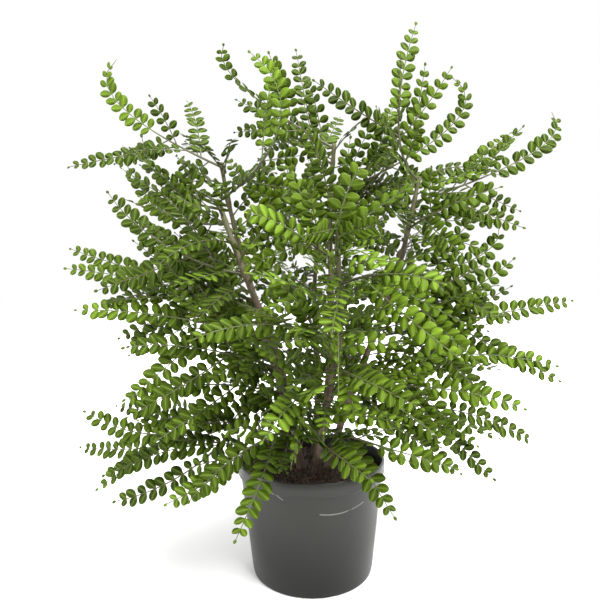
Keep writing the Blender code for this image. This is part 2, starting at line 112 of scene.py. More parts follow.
class Graph:
    """Builds a node tree, one call for each node."""

    def __init__(self, tree: bpy.types.NodeTree) -> None:
        """Keeps the tree and empties it."""
        self.tree = tree
        tree.nodes.clear()

    def add(self, kind: str, settings: dict[str, Any] | None = None,
            inputs: dict[str | int, Any] | None = None) -> bpy.types.Node:
        """Adds a node.

        Args:
            kind: The node's type name.
            settings: Properties set first. "stops" gives a colour ramp's (place, colour) pairs.
            inputs: Socket name or number to a value or a Wire.

        Returns:
            The node.
        """
        node = self.tree.nodes.new(kind)
        for name, value in (settings or {}).items():
            if name == "stops":
                self._set_stops(node.color_ramp, value)
            else:
                setattr(node, name, value)
        for key, value in (inputs or {}).items():
            socket = node.inputs[key]
            if isinstance(value, Wire):
                self.tree.links.new(value.socket, socket)
            else:
                socket.default_value = value
        return node

    def node(self, kind: str, settings: dict[str, Any] | None = None,
             inputs: dict[str | int, Any] | None = None, out: str | int = 0) -> Wire:
        """Adds a node and gives one of its outputs.

        Args:
            kind: The node's type name.
            settings: Properties set first.
            inputs: Socket name or number to a value or a Wire.
            out: The output's name or number.

        Returns:
            That output.
        """
        return Wire(self, self.add(kind, settings, inputs).outputs[out])

    @staticmethod
    def _set_stops(ramp: bpy.types.ColorRamp, stops: Sequence[tuple[float, Sequence[float]]]) -> None:
        """Gives a ramp exactly these stops."""
        while len(ramp.elements) > 1:
            ramp.elements.remove(ramp.elements[-1])
        ramp.elements[0].position = stops[0][0]
        ramp.elements[0].color = _rgba(stops[0][1])
        for place, colour in stops[1:]:
            ramp.elements.new(place).color = _rgba(colour)

    def math(self, operation: str, a: Wire | float, b: Wire | float = 0.0) -> Wire:
        """A Math node of two values."""
        return self.node("ShaderNodeMath", {"operation": operation}, {0: a, 1: b})

    def vector(self, operation: str, a: Any, b: Any = (0.0, 0.0, 0.0)) -> Wire:
        """A Vector Math node of two vectors."""
        return self.node("ShaderNodeVectorMath", {"operation": operation}, {0: a, 1: b})

    def scaled(self, a: Wire, by: Wire | float) -> Wire:
        """A vector times a number."""
        return self.node("ShaderNodeVectorMath", {"operation": "SCALE"}, {0: a, "Scale": by})

    def blend(self, factor: Wire | float, a: Any, b: Any, mode: str = "MIX") -> Wire:
        """A Mix node of two colours."""
        settings = {"data_type": "RGBA", "blend_type": mode, "clamp_factor": True}
        a = a if isinstance(a, Wire) else _rgba(a)
        b = b if isinstance(b, Wire) else _rgba(b)
        return self.node("ShaderNodeMix", settings, {0: factor, 6: a, 7: b}, 2)

    def smooth(self, value: Wire, low: float, high: float, to_low: float = 0.0, to_high: float = 1.0) -> Wire:
        """A Map Range node with a smooth step."""
        settings = {"interpolation_type": "SMOOTHSTEP"}
        return self.node("ShaderNodeMapRange", settings, {0: value, 1: low, 2: high, 3: to_low, 4: to_high})

    def noise(self, place: Wire, scale: float, detail: float = 2.0, rough: float = 0.5) -> Wire:
        """A Noise Texture's value."""
        return self.node("ShaderNodeTexNoise", None,
                         {"Vector": place, "Scale": scale, "Detail": detail, "Roughness": rough})


def _rgba(colour: Sequence[float]) -> tuple[float, float, float, float]:
    """A colour with its alpha."""
    return (colour[0], colour[1], colour[2], colour[3] if len(colour) > 3 else 1.0)


class Surface(Graph):
    """A material's tree, with its Principled shader."""

    def __init__(self, name: str, roughness: float, **fixed: Any) -> None:
        """Makes the material.

        Args:
            name: The material's name.
            roughness: The roughness where nothing changes it.
            fixed: Other constants for the shader's sockets, with _ for spaces.
        """
        self.material = bpy.data.materials.new(name)
        self.material.use_nodes = True
        super().__init__(self.material.node_tree)
        self.output = self.add("ShaderNodeOutputMaterial")
        self.shader = self.add("ShaderNodeBsdfPrincipled", None, {"Roughness": roughness})
        for key, value in fixed.items():
            self.shader.inputs[key.replace("_", " ")].default_value = value
        self.tree.links.new(self.shader.outputs[0], self.output.inputs["Surface"])

    def place(self) -> Wire:
        """Object coordinates."""
        return self.node("ShaderNodeTexCoord", None, None, "Object")

    def drive(self, socket: str, wire: Wire) -> None:
        """Feeds one of the shader's sockets."""
        self.tree.links.new(wire.socket, self.shader.inputs[socket])

    def bump(self, height: Wire, strength: float, distance: float) -> None:
        """Feeds the shader's Normal from a height in metres times distance."""
        inputs = {"Height": height, "Strength": strength, "Distance": distance}
        wire = self.node("ShaderNodeBump", None, inputs)
        self.drive("Normal", wire)


# ---- finishes -------------------------------------------------------------------------------
@dataclass(frozen=True)
class LeafFinish:
    """Living green of the leaflets: dark old leaves to light young ones, lighter still near the front right
    by painted light, a pale margin and a faint midrib.
    """

    deep: Colour = (0.010, 0.019, 0.001)
    middle: Colour = (0.054, 0.092, 0.004)
    bright: Colour = (0.185, 0.310, 0.020)
    margin: Colour = (0.230, 0.340, 0.040)
    underside: Colour = (0.060, 0.095, 0.010)
    roughness: float = 0.50
    translucence: float = 0.20

    def make(self) -> bpy.types.Material:
        """Builds the material."""
        s = Surface("leaf_green", self.roughness, Specular_IOR_Level=0.13)
        tint = s.node("ShaderNodeAttribute", {"attribute_name": "tint"}, None, "Fac")
        uv = s.node("ShaderNodeUVMap", {"uv_map": "leaf_map"})
        across = s.node("ShaderNodeSeparateXYZ", None, {0: uv}, 0)
        along = s.node("ShaderNodeSeparateXYZ", None, {0: uv}, 1)
        under = across > 1.0
        across = across - under
        rim = s.node("ShaderNodeAttribute", {"attribute_name": "rim"}, None, "Fac")
        place = s.place()
        mottle = s.noise(place, 130.0, 3.0, 0.6)
        cloud = s.noise(place, 22.0, 2.0)
        # The ramp follows the tint attribute, so it carries painted light near the front right as well as the
        # leaves' age and random tone.
        stops = ((0.0, self.deep), (0.5, self.middle), (1.0, self.bright))
        ramp = s.node("ShaderNodeValToRGB", {"stops": stops},
                      {0: tint + (mottle - 0.5) * 0.16 + (cloud - 0.5) * 0.30 + along * 0.06})
        edge = s.smooth(rim, 0.80, 0.97)
        rib = 1.0 - s.smooth(s.math("ABSOLUTE", across - 0.5), 0.015, 0.06)
        green = s.blend(edge * 0.55, ramp, self.margin)
        green = s.blend(rib * 0.22, green, self.margin)
        green = s.blend(under * 0.45, green, self.underside)
        s.drive("Base Color", green)
        veins = s.node("ShaderNodeTexWave", {"wave_type": "BANDS", "bands_direction": "Y"},
                       {"Vector": uv, "Scale": 2.6, "Distortion": 2.0, "Detail": 1.0})
        s.drive("Roughness", self.roughness + (mottle - 0.5) * 0.22 + under * 0.12)
        s.bump(veins * 0.5 + rib * -0.8 + mottle * 0.4, 0.25, 0.0006)
        glow = s.add("ShaderNodeBsdfTranslucent")
        through = s.blend(0.5, green, self.bright)
        s.tree.links.new(through.socket, glow.inputs["Color"])
        mix = s.add("ShaderNodeMixShader", None, {0: self.translucence})
        s.tree.links.new(s.shader.outputs[0], mix.inputs[1])
        s.tree.links.new(glow.outputs[0], mix.inputs[2])
        s.tree.links.new(mix.outputs[0], s.output.inputs["Surface"])
        return s.material


@dataclass(frozen=True)
class StalkFinish:
    """Green of the twigs and rachises, browner where they are old and thick; the rachises take their fronds'
    tint, so they also carry its painted light near the front right.
    """

    young: Colour = (0.060, 0.088, 0.014)
    old: Colour = (0.050, 0.042, 0.018)
    roughness: float = 0.5

    def make(self) -> bpy.types.Material:
        """Builds the material."""
        s = Surface("stalk_green", self.roughness)
        tint = s.node("ShaderNodeAttribute", {"attribute_name": "tint"}, None, "Fac")
        grain = s.noise(s.place(), 240.0, 3.0, 0.6)
        mix = s.smooth(tint + (grain - 0.5) * 0.5, 0.05, 0.75)
        s.drive("Base Color", s.blend(mix, self.old, self.young))
        s.drive("Roughness", self.roughness + (grain - 0.5) * 0.2)
        s.bump(grain, 0.3, 0.0004)
        return s.material


@dataclass(frozen=True)
class BarkFinish:
    """Brown-grey bark with lengthwise streaks, pale lenticels and a green cast where it is young."""

    dark: Colour = (0.028, 0.017, 0.011)
    middle: Colour = (0.085, 0.054, 0.037)
    light: Colour = (0.190, 0.135, 0.100)
    moss: Colour = (0.060, 0.066, 0.020)
    roughness: float = 0.78

    def make(self) -> bpy.types.Material:
        """Builds the material."""
        s = Surface("stem_bark", self.roughness)
        place = s.place()
        long = s.vector("MULTIPLY", place, (1.0, 1.0, 0.16))
        streak = s.noise(long, 420.0, 4.0, 0.65)
        patch = s.noise(place, 55.0, 3.0)
        spots = s.node("ShaderNodeTexVoronoi", None,
                       {"Vector": s.vector("MULTIPLY", place, (1.0, 1.0, 1.8)), "Scale": 210.0}, "Distance")
        dots = 1.0 - s.smooth(spots, 0.10, 0.26)
        stops = ((0.28, self.dark), (0.5, self.middle), (0.78, self.light))
        ramp = s.node("ShaderNodeValToRGB", {"stops": stops},
                      {0: streak * 0.62 + patch * 0.38})
        tint = s.node("ShaderNodeAttribute", {"attribute_name": "tint"}, None, "Fac")
        brown = s.blend(dots * 0.45, ramp, self.light)
        green = s.smooth(tint + (patch - 0.5) * 0.5, 0.35, 0.95, 0.0, 0.8)
        s.drive("Base Color", s.blend(green, brown, self.moss))
        s.drive("Roughness", self.roughness + (patch - 0.5) * 0.2)
        s.bump(streak + dots * 0.35, 0.7, 0.0008)
        return s.material


@dataclass(frozen=True)
class CoirFinish:
    """Moist coir: near black between crumbs, with red-brown fibres and bits."""

    dark: Colour = (0.010, 0.007, 0.005)
    middle: Colour = (0.040, 0.022, 0.013)
    light: Colour = (0.190, 0.090, 0.045)
    roughness: float = 0.92

    def make(self) -> bpy.types.Material:
        """Builds the material."""
        s = Surface("soil_coir", self.roughness)
        place = s.place()
        grit = s.noise(place, 420.0, 4.0, 0.7)
        patch = s.noise(place, 60.0, 2.0)
        tint = s.node("ShaderNodeAttribute", {"attribute_name": "tint"}, None, "Fac")
        stops = ((0.25, self.dark), (0.55, self.middle), (0.95, self.light))
        ramp = s.node("ShaderNodeValToRGB", {"stops": stops},
                      {0: grit * 0.45 + patch * 0.2 + tint * 0.55})
        s.drive("Base Color", ramp)
        s.drive("Roughness", self.roughness + (patch - 0.5) * 0.12)
        s.bump(grit, 0.8, 0.0015)
        return s.material


@dataclass(frozen=True)
class PotFinish:
    """Satin dark grey moulded plastic, with faint turning marks, darker towards the foot, painted shade on
    the inside and a few pale scuffs.
    """

    body: Colour = (0.0150, 0.0150, 0.0120)
    foot: Colour = (0.0050, 0.0050, 0.0042)
    inner_shade: Colour = (0.006, 0.006, 0.005)
    scuff: Colour = (0.400, 0.400, 0.370)
    roughness: float = 0.36

    def make(self) -> bpy.types.Material:
        """Builds the material."""
        s = Surface("pot_plastic", self.roughness, Specular_IOR_Level=0.28)
        place = s.place()
        height = s.node("ShaderNodeSeparateXYZ", None, {0: place}, 2)
        x = s.node("ShaderNodeSeparateXYZ", None, {0: place}, 0)
        y = s.node("ShaderNodeSeparateXYZ", None, {0: place}, 1)
        radius = s.math("SQRT", x * x + y * y)
        cloud = s.noise(place, 14.0, 3.0)
        fine = s.noise(place, 900.0, 2.0, 0.6)
        # Darker towards the foot, with an uneven edge.
        low = s.smooth(height + (cloud - 0.5) * 0.01, 0.012, 0.085)
        grey = s.blend(low, self.foot, self.body)
        arc = s.math("ABSOLUTE", height - 0.083 - (x - 0.020) * (x - 0.020) * 6.0)
        mark = (1.0 - s.smooth(arc, 0.0002, 0.0008)) * s.smooth(y, -0.030, -0.045) * (cloud > 0.46)
        grey = s.blend(mark * 0.30, grey, self.scuff)
        # Painted shade: the pot's inside surfaces are darkened towards the inner shade colour.
        wall = radius - (0.0602 + (height - 0.004) * 0.1165)
        inner = s.smooth(wall, -0.0009, -0.0004, 1.0, 0.0)
        s.drive("Base Color", s.blend(inner * 0.85, grey, self.inner_shade))
        scratch = s.noise(s.vector("MULTIPLY", place, (1.0, 1.0, 7.0)), 160.0, 3.0, 0.7)
        s.drive("Roughness", self.roughness + (scratch - 0.5) * 0.16 + (cloud - 0.5) * 0.10 + inner * 0.3)
        rings = s.node("ShaderNodeTexWave", {"wave_type": "BANDS", "bands_direction": "Z"},
                       {"Vector": place, "Scale": 160.0, "Distortion": 0.4, "Detail": 1.0})
        s.bump(rings * 0.12 + fine * 0.35 + scratch * 0.2, 0.25, 0.0003)
        return s.material


@dataclass(frozen=True)
class FloorFinish:
    """Pale studio floor, which glows as painted light: faintly near the pot and white further out."""

    colour: Colour = (0.76, 0.76, 0.76)

    def make(self) -> bpy.types.Material:
        """Builds the material."""
        s = Surface("studio_floor", 0.9, Specular_IOR_Level=0.1)
        s.shader.inputs["Base Color"].default_value = _rgba(self.colour)
        place = s.place()
        x = s.node("ShaderNodeSeparateXYZ", None, {0: place}, 0)
        y = s.node("ShaderNodeSeparateXYZ", None, {0: place}, 1)
        # Painted light: the floor's emission rises from dim near the pot to full white further out.
        far = s.smooth(s.math("SQRT", x * x + y * y), 0.16, 0.60)
        s.shader.inputs["Emission Strength"].default_value = 1.0
        s.drive("Emission Color", s.blend(far, (0.05, 0.05, 0.05), (1.0, 1.0, 1.0)))
        return s.material


# ---- how the plant grows --------------------------------------------------------------------
class Facing(Enum):
    """Which way a spray's fronds turn their upper faces."""

    FRONT = "front"
    UP = "up"
    OUT = "out"

    def direction(self, point: Vector) -> Vector:
        """The upper face's direction for a frond at this point."""
        out = Vector((point.x, point.y, 0)).normalized()
        if self is Facing.FRONT:
            return UP * 0.45 + out * 0.30 + FRONT * 0.95
        if self is Facing.OUT:
            return UP * 0.70 + out * 0.80
        return UP * 1.0 + out * 0.15


@dataclass(frozen=True)
class StemPlan:
    """One woody stem: points in centimetres, and its radius in millimetres at the foot and at the top."""

    name: str
    points: tuple[tuple[float, float, float], ...]
    foot_mm: float
    top_mm: float

    def line(self, soil_top: float) -> list[Vector]:
        """A smooth line through the stem's points, from the soil up."""
        points = [Vector(p) * CM for p in self.points]
        points[0].z = soil_top
        return smooth_line(points, 3)


@dataclass(frozen=True)
class SprayPlan:
    """One leafy spray: where it leaves which stem, where its tip is in centimetres, its arch and facing."""

    name: str
    stem: str
    share: float
    tip: tuple[float, float, float]
    arch: float
    facing: Facing


def smooth_line(points: list[Vector], steps: int) -> list[Vector]:
    """A Catmull-Rom curve through points.

    Args:
        points: The points, in order.
        steps: Spans between each two.

    Returns:
        The curve's points.
    """
    ends = [points[0] * 2 - points[1], *points, points[-1] * 2 - points[-2]]
    line = []
    for a, b, c, d in zip(ends, ends[1:], ends[2:], ends[3:]):
        for i in range(steps):
            u = i / steps
            line.append(0.5 * (2 * b + (c - a) * u + (2 * a - 5 * b + 4 * c - d) * u * u
                               + (3 * b - a - 3 * c + d) * u ** 3))
    return [*line, points[-1].copy()]


def bezier(a: Vector, b: Vector, c: Vector, d: Vector, u: float) -> Vector:
    """The point at u on a cubic Bezier curve."""
    v = 1 - u
    return a * v ** 3 + 3 * b * v * v * u + 3 * c * v * u * u + d * u ** 3


def length_of(line: list[Vector]) -> float:
    """A line's length."""
    return sum((b - a).length for a, b in zip(line, line[1:]))


def along(line: list[Vector], share: float) -> tuple[Vector, Vector]:
    """Point and direction at a share of a line's length."""
    lengths = [(b - a).length for a, b in zip(line, line[1:])]
    left = share * sum(lengths)
    for (a, b), length in zip(zip(line, line[1:]), lengths):
        if left <= length:
            return a.lerp(b, left / length), (b - a).normalized()
        left -= length
    return line[-1].copy(), (line[-1] - line[-2]).normalized()


STEMS = tuple(StemPlan(*row) for row in (
    ("left", ((-1.0, -0.6, 0), (-1.9, -1.4, 16), (-3.4, -3.0, 23),
      (-6.3, -4.4, 31), (-8.4, -4.0, 37)), 3.9, 2.2),
    ("centre", ((0.5, 0.5, 0), (1.7, 1.2, 16), (2.4, 2.0, 26), (2.4, 3.0, 36), (3.0, 3.2, 44)), 4.0, 2.0),
    ("right", ((1.7, -0.5, 0), (3.9, -0.2, 17), (7.2, 0.4, 25), (10.0, 1.0, 33), (11.6, 1.2, 40)), 3.8, 2.0),
    ("rear_left", ((-1.2, 1.5, 0), (-3.2, 3.4, 18), (-6.0, 4.4, 28),
      (-8.2, 3.2, 37), (-9.0, 2.2, 42)), 3.6, 2.0),
    ("rear", ((0.4, 2.6, 0), (1.0, 6.0, 18), (0.8, 9.0, 28), (1.8, 10.6, 38)), 3.6, 2.0),
    ("front", ((0.4, -1.9, 0), (1.3, -4.6, 17), (2.6, -7.4, 25), (2.4, -8.2, 32)), 3.4, 1.9),
    ("low", ((-2.6, -0.2, 0), (-5.6, -1.4, 14.5), (-9.6, -2.2, 16.4)), 2.6, 1.7),
))
# Short names of the three facings, for the table of sprays.
F, U, O = Facing.FRONT, Facing.UP, Facing.OUT
SPRAYS = tuple(SprayPlan(*row) for row in (
    ("top_left", "rear_left", 0.99, (-15.6, 2.0, 55.0), 0.40, F),
    ("top_left_upright", "rear_left", 0.90, (-9.1, 0.0, 52.0), 0.02, F),
    ("left_level", "left", 0.98, (-14.6, -3.0, 44.8), 0.10, U),
    ("left_high", "left", 0.75, (-17.4, -4.4, 38.8), 0.06, F),
    ("left_high_rear", "rear_left", 0.76, (-18.7, 4.6, 44.0), 0.03, O),
    ("left_shoot", "left", 0.93, (-16.6, -1.0, 38.0), -0.12, F),
    ("left_far", "left", 0.62, (-23.8, -2.4, 31.6), 0.10, F),
    ("left_far_rear", "rear_left", 0.55, (-24.4, 2.6, 34.4), 0.12, F),
    ("left_mid", "left", 0.52, (-20.8, -6.4, 27.6), 0.12, F),
    ("left_low", "left", 0.40, (-16.0, -8.4, 24.0), 0.12, F),
    ("left_lower", "left", 0.30, (-16.2, -8.0, 19.4), 0.14, F),
    ("reach_left", "low", 0.99, (-23.0, -0.2, 16.3), -0.22, F),
    ("reach_left_rear", "low", 0.79, (-26.4, 4.6, 11.4), -0.06, F),
    ("reach_left_front", "low", 0.76, (-18.6, -6.0, 11.0), 0.09, F),
    ("skirt_left", "low", 0.42, (-12.4, -11.6, 13.2), 0.22, F),
    ("skirt_front_left", "front", 0.24, (-10.2, -11.0, 11.6), 0.21, F),
    ("top_arch", "centre", 0.99, (-5.0, -1.0, 54.9), 0.42, U),
    ("top_centre", "centre", 0.94, (-0.9, 8.0, 55.7), -0.24, F),
    ("top_right_lean", "centre", 0.84, (9.9, 1.2, 52.9), 0.42, F),
    ("top_right", "right", 0.99, (12.5, 0.2, 54.4), -0.22, F),
    ("top_right_rear", "centre", 0.76, (8.4, 6.6, 51.4), 0.04, O),
    ("right_high", "right", 0.92, (21.6, 2.0, 49.4), 0.40, F),
    ("right_high_low", "right", 0.83, (16.9, -5.2, 39.3), 0.40, F),
    ("right_rear_high", "right", 0.74, (18.4, 6.8, 41.5), 0.40, O),
    ("right_upper", "right", 0.66, (17.1, -0.4, 36.8), 0.34, F),
    ("right_upper_front", "right", 0.58, (16.4, -2.6, 33.0), 0.30, F),
    ("right_mid", "right", 0.54, (19.8, -2.4, 31.2), -0.16, F),
    ("right_far", "right", 0.46, (26.8, 0.4, 27.4), 0.06, F),
    ("right_low", "right", 0.36, (23.4, -3.6, 21.0), 0.12, F),
    ("right_lower", "right", 0.28, (18.4, -8.2, 18.6), 0.16, F),
    ("right_skirt", "right", 0.20, (22.3, -1.2, 12.9), 0.18, F),
    ("skirt_right", "front", 0.25, (11.8, -10.2, 13.7), 0.00, F),
    ("skirt_front", "front", 0.20, (4.8, -15.8, 15.8), 0.21, F),
    ("front_low_left", "front", 0.46, (-3.6, -17.4, 19.0), 0.20, F),
    ("front_low_right", "front", 0.54, (8.0, -17.6, 21.4), 0.20, F),
    ("front_mid_left", "front", 0.66, (-8.8, -15.2, 25.4), 0.16, F),
    ("front_mid", "front", 0.78, (1.2, -18.4, 26.0), 0.16, F),
    ("front_mid_right", "front", 0.88, (9.6, -14.8, 29.2), 0.14, F),
    ("front_high_left", "front", 0.96, (-4.6, -14.6, 34.6), 0.12, F),
    ("front_high", "front", 0.99, (4.6, -13.4, 38.6), 0.08, F),
    ("upper_front", "centre", 0.66, (-1.6, -9.6, 42.6), 0.12, F),
    ("upper_front_left", "rear_left", 0.62, (-12.6, -7.6, 35.2), 0.14, F),
    ("rear_top", "rear", 0.99, (1.6, 14.4, 50.0), 0.06, O),
    ("rear_top_left", "rear", 0.88, (-8.6, 14.0, 46.0), 0.12, O),
    ("rear_top_right", "rear", 0.80, (12.4, 13.6, 44.6), 0.12, O),
    ("rear_mid_left", "rear_left", 0.46, (-16.6, 13.4, 33.0), 0.12, O),
    ("rear_mid", "rear", 0.66, (-3.2, 22.0, 35.4), 0.12, O),
    ("rear_mid_right", "rear", 0.56, (14.4, 16.6, 32.6), 0.12, O),
    ("rear_low_left", "rear_left", 0.34, (-12.6, 17.4, 22.6), 0.16, O),
    ("rear_low", "rear", 0.42, (2.6, 21.4, 22.6), 0.16, O),
    ("rear_low_right", "rear", 0.32, (15.6, 15.4, 20.4), 0.16, O),
))


@dataclass
class Growth:
    """Lays out every stem, twig and frond by the same rules as the frame's solids."""

    soil_top: float = 0.1023
    frond_length: float = 0.105
    frond_half_width: float = 0.0125
    frond_half_thick: float = 0.0007
    side_spacing: float = 0.027
    side_first: float = 0.022
    side_angle: float = math.radians(50)
    tries: int = 30
    outline: tuple[tuple[float, float], ...] = ((0.0, 0.09), (0.10, 0.16), (0.24, 0.84), (0.55, 1.0),
                                                (0.84, 0.74), (1.0, 0.10))
    seed: int = 20
    stems: dict[str, StemPlan] = field(default_factory=lambda: {s.name: s for s in STEMS})

    def spray_path(self, plan: SprayPlan, attempt: int) -> list[Vector]:
        """Twig and terminal frond of a spray.

        Args:
            plan: The spray.
            attempt: How far it was turned aside from its neighbours.

        Returns:
            25 points from the stem to the tip.
        """
        stem = self.stems[plan.stem]
        foot, heading = along(stem.line(self.soil_top), plan.share)
        radius = (stem.foot_mm + (stem.top_mm - stem.foot_mm) * plan.share) * MM
        tip = Vector(plan.tip) * CM
        chord = tip - foot
        side = chord.cross(UP).normalized()
        turn = math.radians(137.5) * attempt
        stray = side * math.cos(turn) + side.cross(chord.normalized()) * math.sin(turn)
        stray = stray * 0.0022 * attempt
        bulge = UP * plan.arch * chord.length + stray * 2
        knee = foot + chord * 0.34 + bulge
        away = (knee - foot) - heading * (knee - foot).dot(heading)
        away.normalize()
        start = foot + away * (radius + 0.0006)
        knee = start + away * 0.010 + (knee - start) * 0.72
        tip += stray
        neck = start + (tip - start) * 0.70 + bulge * 0.80
        return [bezier(start, knee, neck, tip, i / 24) for i in range(25)]

    def side_path(self, path: list[Vector], reach: float, face: Vector, which: int, attempt: int,
                  chance: tuple[float, float, float, float]) -> tuple[list[Vector], Vector]:
        """A side frond's line and upper face.

        Args:
            path: The spray's whole path.
            reach: Distance of the frond's root from the twig's foot.
            face: The spray's upper face.
            which: 1 or -1, the side that the frond leaves on.
            attempt: How far it was turned aside.
            chance: Swing, droop, size and roll.

        Returns:
            Nine points, and the upper face's direction.
        """
        swing, droop, size, roll = chance
        root, ahead = along(path, reach / length_of(path))
        face = (face - ahead * face.dot(ahead)).normalized()
        step = (attempt + 1) // 2 * (1 if attempt % 2 else -1)
        spin = Matrix.Rotation(math.radians(11) * step + roll, 3, ahead)
        across = spin @ (face.cross(ahead) * which)
        face = spin @ face
        angle = self.side_angle + swing - math.radians(1.2) * abs(step)
        out = ahead * math.cos(angle) + across * math.sin(angle)
        length = self.frond_length * size * (1.0 - 0.018 * attempt)
        bend = ahead * 0.16 - UP * droop
        return [root + (out * u + bend * u * u) * length for u in (i / 8 for i in range(9))], face

    @staticmethod
    def chance(rng: random.Random) -> tuple[float, float, float, float]:
        """The chance part of one side frond: swing, droop, size and roll."""
        return (math.radians(rng.uniform(-8, 8)), rng.uniform(0.04, 0.20), rng.uniform(0.70, 0.96),
                math.radians(rng.uniform(-18, 18)))

    def corners(self, line: list[Vector], face: Vector) -> list[Vector]:
        """The corner points of the solid blade that stands for a frond."""
        points = []
        for share, width in self.outline[2:]:
            point, ahead = along(line, share)
            up = (face - ahead * face.dot(ahead)).normalized()
            across = up.cross(ahead)
            half = self.frond_half_width * width
            points += [point + across * half, point - across * half,
                       point + up * self.frond_half_thick, point - up * self.frond_half_thick]
        return points

    def fit(self, solid: KDTree, line: list[Vector], face: Vector) -> int:
        """How many of a blade's corners lie on a solid's own corners."""
        return sum(solid.find(p)[2] < 0.00005 for p in self.corners(line, face))

    def parts_of(self, plan: SprayPlan) -> tuple[float, float, float]:
        """Lengths of a spray: the whole path, its twig and its terminal frond."""
        whole = length_of(self.spray_path(plan, 0))
        frond = min(self.frond_length, whole * 0.62)
        return whole, whole - frond, frond

    def spray(self, plan: SprayPlan, rng: random.Random, solid: KDTree | None) -> Spray:
        """Lays out one spray where its solid is.

        Args:
            plan: The spray.
            rng: The chance that all sprays share, in order.
            solid: The corners of the spray's solid.

        Returns:
            The spray's lines.
        """
        whole, twig, _ = self.parts_of(plan)
        cut = twig / whole
        best = (-1, None)
        for attempt in range(self.tries):
            path = self.spray_path(plan, attempt)
            line = [along(path, cut + (1 - cut) * i / 8)[0] for i in range(9)]
            face = plan.facing.direction(path[-1])
            hits = self.fit(solid, line, face)
            if hits > best[0]:
                best = (hits, (path, line, face))
            if hits >= 9:
                break
        path, line, face = best[1]
        found = [(line, face, best[0])]
        places = [(self.side_first + i * self.side_spacing, 1 if i % 2 else -1)
                  for i in range(max(1, int((twig - self.side_first) / self.side_spacing) + 1))]
        for reach, which in places:
            if reach >= twig + 0.004:
                continue
            chance = self.chance(rng)
            choice = (-1, None)
            for attempt in range(self.tries):
                side, turned = self.side_path(path, reach, face, which, attempt, chance)
                hits = self.fit(solid, side, turned)
                if hits > choice[0]:
                    choice = (hits, (side, turned))
                if hits >= 9:
                    break
            found.append((*choice[1], choice[0]))
        return Spray(plan, path, cut, found)


@dataclass
class Spray:
    """One spray's lines: its whole path, the share of it that is bare twig, and its fronds with their fit."""

    plan: SprayPlan
    path: list[Vector]
    cut: float
    fronds: list[tuple[list[Vector], Vector, int]]


# ---- meshes ---------------------------------------------------------------------------------
def object_of(name: str, mesh: bpy.types.Mesh) -> bpy.types.Object:
    """An object with this mesh, in the scene."""
    obj = bpy.data.objects.new(name, mesh)
    bpy.context.scene.collection.objects.link(obj)
    return obj


def object_from(bm: bmesh.types.BMesh, name: str) -> bpy.types.Object:
    """An object in the scene with this editable mesh, which is freed."""
    mesh = bpy.data.meshes.new(name)
    bm.to_mesh(mesh)
    bm.free()
    return object_of(name, mesh)


def run_nodes(obj: bpy.types.Object, tree: bpy.types.NodeTree, values: dict[str, Any]) -> None:
    """Runs a Geometry Nodes tree on an object and keeps the plain mesh.

    Args:
        obj: The object.
        tree: The tree.
        values: The tree's inputs by name.
    """
    modifier = obj.modifiers.new("growth", "NODES")
    modifier.node_group = tree
    for item in tree.interface.items_tree:
        if item.in_out == "INPUT" and item.name in values:
            modifier[item.identifier] = values[item.name]
    plain_mesh(obj)


def faces_with(obj: bpy.types.Object, material: bpy.types.Material) -> int:
    """How many of an object's faces have this material."""
    slot = obj.data.materials.find(material.name)
    return sum(face.material_index == slot for face in obj.data.polygons)


def plain_mesh(obj: bpy.types.Object) -> None:
    """Turns what an object's modifiers make into its own mesh, and removes them."""
    bpy.context.view_layer.update()
    graph = bpy.context.evaluated_depsgraph_get()
    mesh = bpy.data.meshes.new_from_object(obj.evaluated_get(graph))
    obj.modifiers.clear()
    old = obj.data
    obj.data = mesh
    bpy.data.meshes.remove(old)
    mesh.name = obj.name


@dataclass
class Leaflet:
    """One small oval leaflet with a narrow foot, cupped along its midrib, one metre long before scaling."""

    width: float = 0.70
    fold: float = 0.035
    curl: float = 0.07
    thick: float = 0.022
    rows: tuple[float, ...] = (0.0, 0.12, 0.30, 0.50, 0.70, 0.87, 0.965)

    def half_width(self, s: float) -> float:
        """Half of the leaflet's width at a share of its length."""
        foot = 0.035
        swell = math.sin(math.pi * min(1.0, s ** 1.18)) ** 0.55
        return foot * (1 - s) + (self.width / 2 - foot * 0.4) * swell * min(1.0, 0.35 + s * 2.6)

    def build(self) -> bpy.types.Object:
        """Makes the leaflet, hidden, for instancing."""
        bm = bmesh.new()
        uv = bm.loops.layers.uv.new("leaf_map")
        rim = bm.verts.layers.float.new("rim")
        rows = []
        for s in self.rows:
            half = self.half_width(s)
            z = -self.curl * s * s
            edge = z + self.fold * math.sin(math.pi * min(1, s + 0.05))
            left = bm.verts.new((s, half, edge))
            right = bm.verts.new((s, -half, edge))
            top = bm.verts.new((s, 0, z + self.thick / 2))
            low = bm.verts.new((s, 0, z - self.thick / 2))
            left[rim] = right[rim] = 1.0
            rows.append((left, top, right, low, s))
        tip = bm.verts.new((1.0, 0, -self.curl))
        tip[rim] = 1.0
        quads = []
        for a, b in zip(rows, rows[1:]):
            quads += [((a[1], b[1], b[0], a[0]), 0), ((a[2], b[2], b[1], a[1]), 0),
                      ((a[3], b[3], b[2], a[2]), 1), ((a[0], b[0], b[3], a[3]), 1)]
        end = rows[-1]
        quads += [((end[1], tip, end[0]), 0), ((end[2], tip, end[1]), 0),
                  ((end[3], tip, end[2]), 1), ((end[0], tip, end[3]), 1)]
        first = rows[0]
        quads += [((first[0], first[3], first[2], first[1]), 1)]
        for corners, under in quads:
            face = bm.faces.new(corners)
            face.smooth = True
            for loop in face.loops:
                co = loop.vert.co
                loop[uv].uv = (0.5 + co.y + under, co.x)
        bmesh.ops.recalc_face_normals(bm, faces=bm.faces)
        obj = object_from(bm, "leaflet_pattern")
        obj.hide_render = True
        return obj


